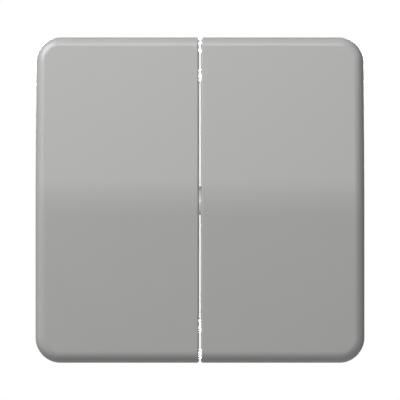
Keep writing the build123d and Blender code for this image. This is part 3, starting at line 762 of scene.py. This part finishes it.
def build_claw(side, sizes):
    """A claw: the flange that its screw passes through, a bend, and two prongs with pointed ends."""
    back = CLAW_FRONT_Y + CLAW_SHEET
    leg = CLAW_INNER_X + CLAW_SHEET
    outline = (
        (side * CLAW_INNER_X, CLAW_FRONT_Y),
        (side * CLAW_OUTER_X, CLAW_FRONT_Y),
        (side * CLAW_OUTER_X, back),
        (side * leg, back),
        (side * leg, CLAW_END_Y - CLAW_TOOTH),
        (side * (leg + CLAW_TOOTH), CLAW_END_Y),
        (side * CLAW_INNER_X, CLAW_END_Y),
    )
    sheet = prism(outline, -CLAW_HALF_HEIGHT, CLAW_HALF_HEIGHT, along_z)
    for x, y, radius in (
        (CLAW_INNER_X, CLAW_FRONT_Y, sizes.claw_bend + CLAW_SHEET),
        (leg, back, sizes.claw_bend),
    ):
        bend = [
            edge
            for edge in sheet.edges
            if all(same(abs(vert.co.x), x) and same(vert.co.y, y) for vert in edge.verts)
        ]
        round_off(sheet, bend, radius, BEND_SEGMENTS)
    beyond = CLAW_OUTER_X + CUT_MARGIN
    slot = prism(
        (
            (side * CLAW_SLOT[0], -CLAW_SLOT_HALF),
            (side * CLAW_SLOT[1], -CLAW_SLOT_HALF),
            (side * CLAW_SLOT[1], CLAW_SLOT_HALF),
            (side * CLAW_SLOT[0], CLAW_SLOT_HALF),
        ),
        0,
        back + CUT_MARGIN,
        along_y,
    )
    fork = bar(
        (min(side * (CLAW_INNER_X - CUT_MARGIN), side * beyond), back, -CLAW_FORK_HALF),
        (
            max(side * (CLAW_INNER_X - CUT_MARGIN), side * beyond),
            CLAW_END_Y + CUT_MARGIN,
            CLAW_FORK_HALF,
        ),
    )
    notches = [
        *claw_notches(side, -CLAW_HALF_HEIGHT, -CLAW_FORK_HALF),
        *claw_notches(side, CLAW_FORK_HALF, CLAW_HALF_HEIGHT),
    ]
    pin = bmesh.new()
    bmesh.ops.create_cone(
        pin,
        cap_ends=True,
        segments=STEPS_PER_TURN,
        radius1=CLAW_PIN_RADIUS,
        radius2=CLAW_PIN_RADIUS,
        depth=2 * CLAW_PIN_REACH,
        matrix=Matrix.Translation((side * CLAW_PIN[0], CLAW_PIN[1], 0)),
    )
    mesh = combine(combine(sheet, joins=[pin]), [slot, fork, *notches])
    round_off(mesh, sharp_edges(mesh, CUT_EDGE_FROM), sizes.sheared_edge, FINE_SEGMENTS, clamp=True)
    return mesh


class SWITCH_OT_sheet_metal(Operator):
    """Model the support plate and the claws"""

    bl_idname = "switch.sheet_metal"
    bl_label = "Sheet metal"

    def execute(self, context):
        colours = context.scene.switch_colours
        edge = context.scene.switch_sizes.sheared_edge
        zinc = sheet_metal("zinc_plated_sheet", colours.zinc, 0.34, (60.0, 1.0, 1.0), 0.06)
        soften(["support_plate"], edge, zinc)
        for bank, side in BANKS.items():
            mesh = build_claw(side, context.scene.switch_sizes)
            node = f"{bank}_claw"
            finish_piece(mesh, f"{node}_bent", zinc, body_of(node), [node])
        return {"FINISHED"}


# Screws: a turned head with a driver slot, a core and the thread's ridge round it
SCREW_SLOT_WIDTH = 0.6 * MM
SCREW_SLOT_DEPTH = 0.6 * MM
CLAW_SCREW_X = 24.4 * MM
CLAW_SCREW_SEAT = -1.05 * MM
CLAW_SCREW_HEAD = 2.5 * MM
CLAW_SCREW_HEAD_HEIGHT = 1.95 * MM
CLAW_SCREW_END = 13.0 * MM
CLAW_SCREW_RADIUS = 1.5 * MM
CLAW_SCREW_PLAIN = 4.0 * MM
BOSS_X = 16.2 * MM
BOSS_Z = 17.7 * MM
COVER_SCREW_SEAT = -3.0 * MM
COVER_SCREW_HEAD = 2.3 * MM
COVER_SCREW_HEAD_HEIGHT = 1.2 * MM
COVER_SCREW_END = 11.0 * MM
COVER_SCREW_RADIUS = 1.0 * MM
COVER_SCREW_PLAIN = 3.0 * MM
HEAD_SEGMENTS = 5


def build_screw(x, z, seat, end, radius, head, head_height, plain, pitch, depth):
    """A screw along Y: slotted head, plain neck, then a thread down to a chamfered end."""
    core = radius - depth
    profile = (
        (0, seat - head_height),
        (head, seat - head_height),
        (head, seat),
        (radius, seat),
        (radius, seat + plain),
        (core, seat + plain + depth),
        (core, end - depth),
        (core - depth, end),
        (0, end),
    )
    blank = lathe(profile, x, z)
    rim = [
        edge
        for edge in blank.edges
        if all(same(vert.co.y, seat - head_height) for vert in edge.verts)
        and all(same((vert.co - Vector((x, vert.co.y, z))).length, head) for vert in edge.verts)
    ]
    round_off(blank, rim, head_height / 3, HEAD_SEGMENTS)
    slot = bar(
        (x - 2 * head, seat - head_height - CUT_MARGIN, z - SCREW_SLOT_WIDTH / 2),
        (x + 2 * head, seat - head_height + SCREW_SLOT_DEPTH, z + SCREW_SLOT_WIDTH / 2),
    )
    start = seat + plain + pitch
    ridge = thread(x, z, start, end - 2 * depth, core - depth / 2, radius, pitch)
    return gather([combine(blank, [slot]), ridge])


class SWITCH_OT_screws(Operator):
    """Model the claw screws and the assembly screws"""

    bl_idname = "switch.screws"
    bl_label = "Screws"

    def execute(self, context):
        colours = context.scene.switch_colours
        sizes = context.scene.switch_sizes
        zinc = sheet_metal("screw_zinc", colours.screw, 0.25, (1.0, 1.0, 1.0), 0.04)
        for bank, side in BANKS.items():
            mesh = build_screw(
                side * CLAW_SCREW_X,
                0,
                CLAW_SCREW_SEAT,
                CLAW_SCREW_END,
                CLAW_SCREW_RADIUS,
                CLAW_SCREW_HEAD,
                CLAW_SCREW_HEAD_HEIGHT,
                CLAW_SCREW_PLAIN,
                sizes.claw_pitch,
                sizes.thread_depth,
            )
            node = f"{bank}_claw_screw"
            finish_piece(mesh, f"{node}_turned", zinc, body_of(node), [node])
        four = gather(
            build_screw(
                x,
                z,
                COVER_SCREW_SEAT,
                COVER_SCREW_END,
                COVER_SCREW_RADIUS,
                COVER_SCREW_HEAD,
                COVER_SCREW_HEAD_HEIGHT,
                COVER_SCREW_PLAIN,
                sizes.cover_pitch,
                sizes.thread_depth,
            )
            for x in (-BOSS_X, BOSS_X)
            for z in (-BOSS_Z, BOSS_Z)
        )
        node = "assembly_screws"
        finish_piece(four, f"{node}_turned", zinc, body_of(node), [node])
        return {"FINISHED"}


# Plunger springs, coiled between the plunger's back and the closed end of the cradle's tube
SPRING_WIRE = 0.25 * MM
SPRING_RADIUS = 1.4 * MM
SPRING_PITCH = 0.95 * MM
SPRING_FOOT = -4.73 * MM
SPRING_TOP = 1.13 * MM
WIRE_SIDES = 12


def build_spring(x):
    """A plunger spring, standing as it does at rest."""
    mesh = bmesh.new()
    made = bmesh.ops.create_circle(
        mesh,
        cap_ends=True,
        segments=WIRE_SIDES,
        radius=SPRING_WIRE,
        matrix=Matrix.Translation((x + SPRING_RADIUS, -SPRING_FOOT, 0)),
    )
    turns = (SPRING_TOP - SPRING_FOOT) / SPRING_PITCH
    turn_about_y(mesh, [*mesh.faces, *mesh.edges, *made["verts"]], x, 0, turns, -SPRING_PITCH)
    bmesh.ops.holes_fill(mesh, edges=[edge for edge in mesh.edges if edge.is_boundary], sides=WIRE_SIDES)
    bmesh.ops.recalc_face_normals(mesh, faces=mesh.faces)
    bmesh.ops.transform(mesh, matrix=rocker_stand(), verts=mesh.verts)
    return mesh


class SWITCH_OT_contacts(Operator):
    """Model the busbars, the see-saws, the contacts and the springs"""

    bl_idname = "switch.contacts"
    bl_label = "Contacts and springs"

    def execute(self, context):
        colours = context.scene.switch_colours
        edge = context.scene.switch_sizes.sheared_edge
        spring = sheet_metal("spring_wire_steel", colours.spring, 0.28, (1.0, 1.0, 1.0), 0.05)
        for bank, side in BANKS.items():
            node = f"{bank}_plunger_spring"
            coil = finish_piece(
                build_spring(side * BANK_X), f"{node}_coil", spring, body_of(node), [node]
            )
            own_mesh(coil)
        soften([f"{terminal}_clamp_springs" for terminal in TERMINALS], edge, spring)
        brass = sheet_metal("rolled_brass", colours.brass, 0.30, (1.0, 1.0, 40.0), 0.08)
        soften(["common_busbar", *both("output_busbar"), *both("seesaw")], edge, brass)
        silver = sheet_metal("contact_silver", colours.silver, 0.35, (1.0, 1.0, 1.0), 0.05)
        soften([*both("moving_contact"), *both("fixed_contact")], edge, silver)
        return {"FINISHED"}


def aim(thing, place, target):
    """Stand a light or camera at a place and point it at a target, level with the horizon."""
    thing.location = place
    thing.rotation_euler = (Vector(target) - Vector(place)).to_track_quat("-Z", "Y").to_euler()


def add_light(name, kind, **settings):
    """A new lamp that the camera doesn't see."""
    lamp = bpy.data.lights.new(name, kind)
    for key, value in settings.items():
        setattr(lamp, key, value)
    thing = bpy.data.objects.new(name, lamp)
    thing.visible_camera = False
    bpy.context.scene.collection.objects.link(thing)
    return thing


def direction(turn, lift):
    """Unit vector away from the rockers: degrees turned right from straight ahead, and lifted."""
    return Matrix.Rotation(math.radians(turn), 3, "Z") @ Vector(
        (0, -math.cos(math.radians(lift)), math.sin(math.radians(lift)))
    )


# Round softboxes: degrees turned right from straight ahead, degrees lifted, diameter, share of the power
SOFTBOXES = {
    "main_softbox": (-50, 40, 0.40, 1.0),
    "top_softbox": (0, 45, 0.20, 0.2),
    "fill_softbox": (45, 30, 0.20, 0.1),
    "rear_left_softbox": (-160, 15, 0.20, 0.6),
    "rear_right_softbox": (160, 15, 0.20, 0.5),
}
# The panel lies just clear of the floor
PANEL_SHARE = 0.1
PANEL_LIFT = 0.97
FLOOR_SEGMENTS = 96
# The upper halves lean back, so they mirror what stands at twice their lean above the camera
FRONT_LIFT = 2 * math.degrees(GABLE - REST_TURN)
FRONT_SPREAD = math.radians(4)
SLOT_SPREAD = math.radians(1)


def light_only(lamp, things):
    """Keep a light off everything but some objects."""
    lit = bpy.data.collections.new(f"{lamp.name}_lights")
    for thing in things:
        lit.objects.link(thing)
    lamp.light_linking.receiver_collection = lit


class SWITCH_OT_stage(Operator):
    """Set up the floor, the surround, the lights and the camera"""

    bl_idname = "switch.stage"
    bl_label = "Stage"

    def execute(self, context):
        studio = context.scene.switch_studio
        self.floor(context, studio)
        self.surround(context, studio)
        self.lights(studio)
        self.camera(context, studio)
        return {"FINISHED"}

    def floor(self, context, studio):
        """A round pale floor that throws no light back on the switch."""
        mesh = bmesh.new()
        bmesh.ops.create_circle(
            mesh,
            cap_ends=True,
            segments=FLOOR_SEGMENTS,
            radius=studio.floor_radius,
            matrix=Matrix.Translation((0, 0, -studio.floor_drop)),
        )
        data = bpy.data.meshes.new("floor")
        mesh.to_mesh(data)
        mesh.free()
        floor = bpy.data.objects.new("floor", data)
        context.scene.collection.objects.link(floor)
        floor.visible_diffuse = False
        floor.visible_glossy = False
        base = context.scene.switch_colours.floor
        finish = Finish(
            "floor_paint",
            roughness=0.7,
            emission_color=tone(base, 1.0),
            emission_strength=studio.floor_glow,
        )
        finish.paint(base_color=finish.mix(finish.noise(0.08, 3.0), tone(base, 0.99), tone(base, 1.01)))
        data.materials.append(finish.material)

    def surround(self, context, studio):
        """White behind everything, and a dim even room for all that isn't seen directly."""
        world = bpy.data.worlds.new("studio")
        context.scene.world = world
        world.use_nodes = True
        nodes = world.node_tree.nodes
        links = world.node_tree.links
        seen = nodes.new("ShaderNodeLightPath")
        backdrop = nodes["Background"]
        level = nodes.new("ShaderNodeMapRange")
        level.inputs["To Min"].default_value = studio.surround
        level.inputs["To Max"].default_value = 1.0
        links.new(seen.outputs["Is Camera Ray"], level.inputs["Value"])
        links.new(level.outputs["Result"], backdrop.inputs["Strength"])
        backdrop.inputs["Color"].default_value = (1.0, 1.0, 1.0, 1.0)

    def lights(self, studio):
        """Softboxes round the switch, a distant front light and a light that reaches down the slot."""
        for name, (turn, lift, size, share) in SOFTBOXES.items():
            box = add_light(
                name,
                "AREA",
                shape="DISK",
                size=size,
                energy=share * studio.softbox_power,
            )
            aim(box, rocker_middle + studio.softbox_distance * direction(turn, lift), rocker_middle)
        panel = add_light(
            "low_panel",
            "AREA",
            shape="DISK",
            size=studio.panel_size,
            energy=PANEL_SHARE * studio.softbox_power,
        )
        below = Vector((0, -studio.panel_size / 4, -studio.floor_drop)) * PANEL_LIFT
        aim(panel, below, below + Vector((0, 0, 1)))
        front = add_light("front_light", "SUN", energy=studio.front_strength, angle=FRONT_SPREAD)
        aim(front, rocker_middle + direction(0, FRONT_LIFT), rocker_middle)
        slot = add_light("slot_light", "SUN", energy=studio.slot_strength, angle=SLOT_SPREAD)
        aim(slot, rocker_middle + direction(0, 0), rocker_middle)
        light_only(slot, [bpy.data.objects["front_cover_fine"], bpy.data.objects["support_plate_fine"]])

    def camera(self, context, studio):
        """Level camera straight in front of the rockers, as far off as the outline's taper asks."""
        lens = bpy.data.cameras.new("camera")
        camera = bpy.data.objects.new("camera", lens)
        context.scene.collection.objects.link(camera)
        place = Vector((rocker_middle.x, rocker_middle.y - studio.camera_distance, rocker_middle.z))
        aim(camera, place, rocker_middle)
        lens.lens = lens.sensor_width * studio.camera_distance * studio.outline_share / rocker_span
        lens.clip_start = 0.01
        lens.clip_end = 10.0
        context.scene.camera = camera
        context.scene.view_settings.view_transform = "Standard"


class SWITCH_PT_sidebar(Panel):
    """Buttons for the pieces and the stage"""

    bl_label = "Rocker switch"
    bl_idname = "SWITCH_PT_sidebar"
    bl_space_type = "VIEW_3D"
    bl_region_type = "UI"
    bl_category = "Switch"

    def draw(self, context):
        for operator in STEPS:
            self.layout.operator(operator.bl_idname)


STEPS = (
    SWITCH_OT_rockers,
    SWITCH_OT_housing,
    SWITCH_OT_levers,
    SWITCH_OT_sheet_metal,
    SWITCH_OT_screws,
    SWITCH_OT_contacts,
    SWITCH_OT_stage,
)
CLASSES = (SwitchColours, SwitchSizes, SwitchStudio, *STEPS, SWITCH_PT_sidebar)


def register():
    """Register the settings, the operators and the panel."""
    for made in CLASSES:
        bpy.utils.register_class(made)
    bpy.types.Scene.switch_colours = PointerProperty(type=SwitchColours)
    bpy.types.Scene.switch_sizes = PointerProperty(type=SwitchSizes)
    bpy.types.Scene.switch_studio = PointerProperty(type=SwitchStudio)


def unregister():
    """Take everything back that register() added."""
    del bpy.types.Scene.switch_studio
    del bpy.types.Scene.switch_sizes
    del bpy.types.Scene.switch_colours
    for made in reversed(CLASSES):
        bpy.utils.unregister_class(made)


def main():
    """Make every piece and the stage."""
    register()
    bpy.ops.switch.rockers()
    bpy.ops.switch.housing()
    bpy.ops.switch.levers()
    bpy.ops.switch.sheet_metal()
    bpy.ops.switch.screws()
    bpy.ops.switch.contacts()
    bpy.ops.switch.stage()


if __name__ == "__main__":
    main()
